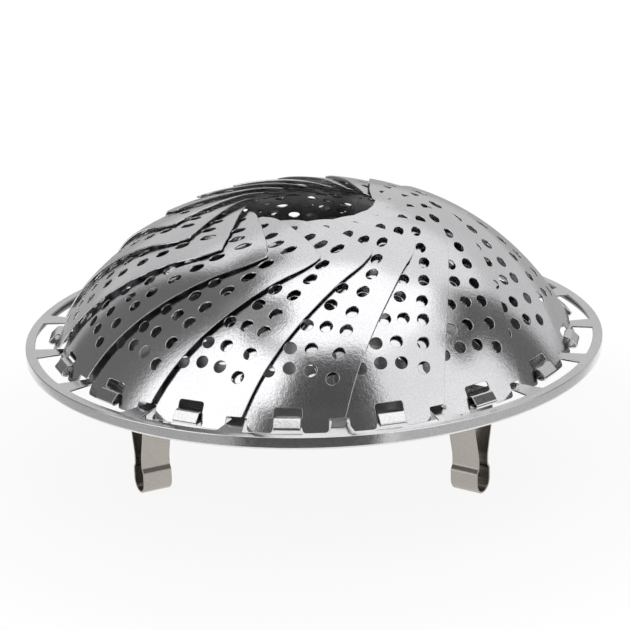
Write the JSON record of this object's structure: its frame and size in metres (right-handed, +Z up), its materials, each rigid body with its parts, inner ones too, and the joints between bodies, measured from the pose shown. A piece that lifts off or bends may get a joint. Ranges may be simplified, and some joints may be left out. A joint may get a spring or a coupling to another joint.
{
  "type": "folding steamer basket",
  "caption": "Stainless steel steamer basket with a shallow perforated pan, lapped perforated petals that hinge closed to a dome or open to a flower, and folding strap legs.",
  "frame": {"origin": "on the surface the basket stands on, under the middle of the pan", "axes": "+Z up; -Y is the side that faces the picture's camera; X runs across the view"},
  "size_m": [0.14, 0.14, 0.0645],
  "materials": {
    "pan_steel": "bright polished stainless sheet",
    "petal_steel": "bright polished stainless sheet with fine grain",
    "leg_steel": "satin stainless strap"
  },
  "bodies": {
    "pan": {"pan": "pan_steel"},
    "petal_01": {"petal_01": "petal_steel"},
    "petal_02": {"petal_02": "petal_steel"},
    "petal_03": {"petal_03": "petal_steel"},
    "petal_04": {"petal_04": "petal_steel"},
    "petal_05": {"petal_05": "petal_steel"},
    "petal_06": {"petal_06": "petal_steel"},
    "petal_07": {"petal_07": "petal_steel"},
    "petal_08": {"petal_08": "petal_steel"},
    "petal_09": {"petal_09": "petal_steel"},
    "petal_10": {"petal_10": "petal_steel"},
    "petal_11": {"petal_11": "petal_steel"},
    "petal_12": {"petal_12": "petal_steel"},
    "petal_13": {"petal_13": "petal_steel"},
    "petal_14": {"petal_14": "petal_steel"},
    "petal_15": {"petal_15": "petal_steel"},
    "petal_16": {"petal_16": "petal_steel"},
    "petal_17": {"petal_17": "petal_steel"},
    "leg_1": {"leg_1": "leg_steel"},
    "leg_2": {"leg_2": "leg_steel"},
    "leg_3": {"leg_3": "leg_steel"}
  },
  "joints": [
    {"name": "petal_01_hinge", "type": "hinge", "parent": "pan", "child": "petal_01", "pos_m": [-0.00625, -0.06168, 0.0331], "axis": [0.9949, -0.1009, 0], "range_deg": [0, 110]},
    {"name": "petal_02_hinge", "type": "hinge", "parent": "pan", "child": "petal_02", "pos_m": [0.01645, -0.05978, 0.0331], "axis": [0.9641, 0.2654, 0], "range_deg": [0, 110]},
    {"name": "petal_03_hinge", "type": "hinge", "parent": "pan", "child": "petal_03", "pos_m": [0.03694, -0.0498, 0.0331], "axis": [0.8032, 0.5957, 0], "range_deg": [0, 110]},
    {"name": "petal_04_hinge", "type": "hinge", "parent": "pan", "child": "petal_04", "pos_m": [0.05243, -0.03309, 0.0331], "axis": [0.5337, 0.8456, 0], "range_deg": [0, 110]},
    {"name": "petal_05_hinge", "type": "hinge", "parent": "pan", "child": "petal_05", "pos_m": [0.06084, -0.01192, 0.0331], "axis": [0.1922, 0.9814, 0], "range_deg": [0, 110]},
    {"name": "petal_06_hinge", "type": "hinge", "parent": "pan", "child": "petal_06", "pos_m": [0.06104, 0.01087, 0.0331], "axis": [-0.1753, 0.9845, 0], "range_deg": [0, 110]},
    {"name": "petal_07_hinge", "type": "hinge", "parent": "pan", "child": "petal_07", "pos_m": [0.05299, 0.03218, 0.0331], "axis": [-0.5191, 0.8547, 0], "range_deg": [0, 110]},
    {"name": "petal_08_hinge", "type": "hinge", "parent": "pan", "child": "petal_08", "pos_m": [0.03779, 0.04915, 0.0331], "axis": [-0.7928, 0.6095, 0], "range_deg": [0, 110]},
    {"name": "petal_09_hinge", "type": "hinge", "parent": "pan", "child": "petal_09", "pos_m": [0.01748, 0.05948, 0.0331], "axis": [-0.9594, 0.2819, 0], "range_deg": [0, 110]},
    {"name": "petal_10_hinge", "type": "hinge", "parent": "pan", "child": "petal_10", "pos_m": [-0.00519, 0.06178, 0.0331], "axis": [-0.9965, -0.0837, 0], "range_deg": [0, 110]},
    {"name": "petal_11_hinge", "type": "hinge", "parent": "pan", "child": "petal_11", "pos_m": [-0.02716, 0.05574, 0.0331], "axis": [-0.899, -0.438, 0], "range_deg": [0, 110]},
    {"name": "petal_12_hinge", "type": "hinge", "parent": "pan", "child": "petal_12", "pos_m": [-0.04546, 0.04216, 0.0331], "axis": [-0.68, -0.7332, 0], "range_deg": [0, 110]},
    {"name": "petal_13_hinge", "type": "hinge", "parent": "pan", "child": "petal_13", "pos_m": [-0.05762, 0.02289, 0.0331], "axis": [-0.3693, -0.9293, 0], "range_deg": [0, 110]},
    {"name": "petal_14_hinge", "type": "hinge", "parent": "pan", "child": "petal_14", "pos_m": [-0.062, 0.00053, 0.0331], "axis": [-0.0086, -1, 0], "range_deg": [0, 110]},
    {"name": "petal_15_hinge", "type": "hinge", "parent": "pan", "child": "petal_15", "pos_m": [-0.058, -0.0219, 0.0331], "axis": [0.3532, -0.9356, 0], "range_deg": [0, 110]},
    {"name": "petal_16_hinge", "type": "hinge", "parent": "pan", "child": "petal_16", "pos_m": [-0.04618, -0.04137, 0.0331], "axis": [0.6673, -0.7448, 0], "range_deg": [0, 110]},
    {"name": "petal_17_hinge", "type": "hinge", "parent": "pan", "child": "petal_17", "pos_m": [-0.02811, -0.05526, 0.0331], "axis": [0.8913, -0.4534, 0], "range_deg": [0, 110]},
    {"name": "leg_1_fold", "type": "hinge", "parent": "pan", "child": "leg_1", "pos_m": [0.03639, -0.02473, 0.0203], "axis": [0.5621, 0.8271, 0], "range_deg": [0, 90]},
    {"name": "leg_2_fold", "type": "hinge", "parent": "pan", "child": "leg_2", "pos_m": [0.00322, 0.04388, 0.0203], "axis": [-0.9973, 0.0732, 0], "range_deg": [0, 90]},
    {"name": "leg_3_fold", "type": "hinge", "parent": "pan", "child": "leg_3", "pos_m": [-0.03961, -0.01915, 0.0203], "axis": [0.4352, -0.9003, 0], "range_deg": [0, 90]}
  ],
  "couplings": [
    {"joint": "petal_02_hinge", "follows": "petal_01_hinge", "ratio": 1},
    {"joint": "petal_03_hinge", "follows": "petal_01_hinge", "ratio": 1},
    {"joint": "petal_04_hinge", "follows": "petal_01_hinge", "ratio": 1},
    {"joint": "petal_05_hinge", "follows": "petal_01_hinge", "ratio": 1},
    {"joint": "petal_06_hinge", "follows": "petal_01_hinge", "ratio": 1},
    {"joint": "petal_07_hinge", "follows": "petal_01_hinge", "ratio": 1},
    {"joint": "petal_08_hinge", "follows": "petal_01_hinge", "ratio": 1},
    {"joint": "petal_09_hinge", "follows": "petal_01_hinge", "ratio": 1},
    {"joint": "petal_10_hinge", "follows": "petal_01_hinge", "ratio": 1},
    {"joint": "petal_11_hinge", "follows": "petal_01_hinge", "ratio": 1},
    {"joint": "petal_12_hinge", "follows": "petal_01_hinge", "ratio": 1},
    {"joint": "petal_13_hinge", "follows": "petal_01_hinge", "ratio": 1},
    {"joint": "petal_14_hinge", "follows": "petal_01_hinge", "ratio": 1},
    {"joint": "petal_15_hinge", "follows": "petal_01_hinge", "ratio": 1},
    {"joint": "petal_16_hinge", "follows": "petal_01_hinge", "ratio": 1},
    {"joint": "petal_17_hinge", "follows": "petal_01_hinge", "ratio": 1}
  ]
}
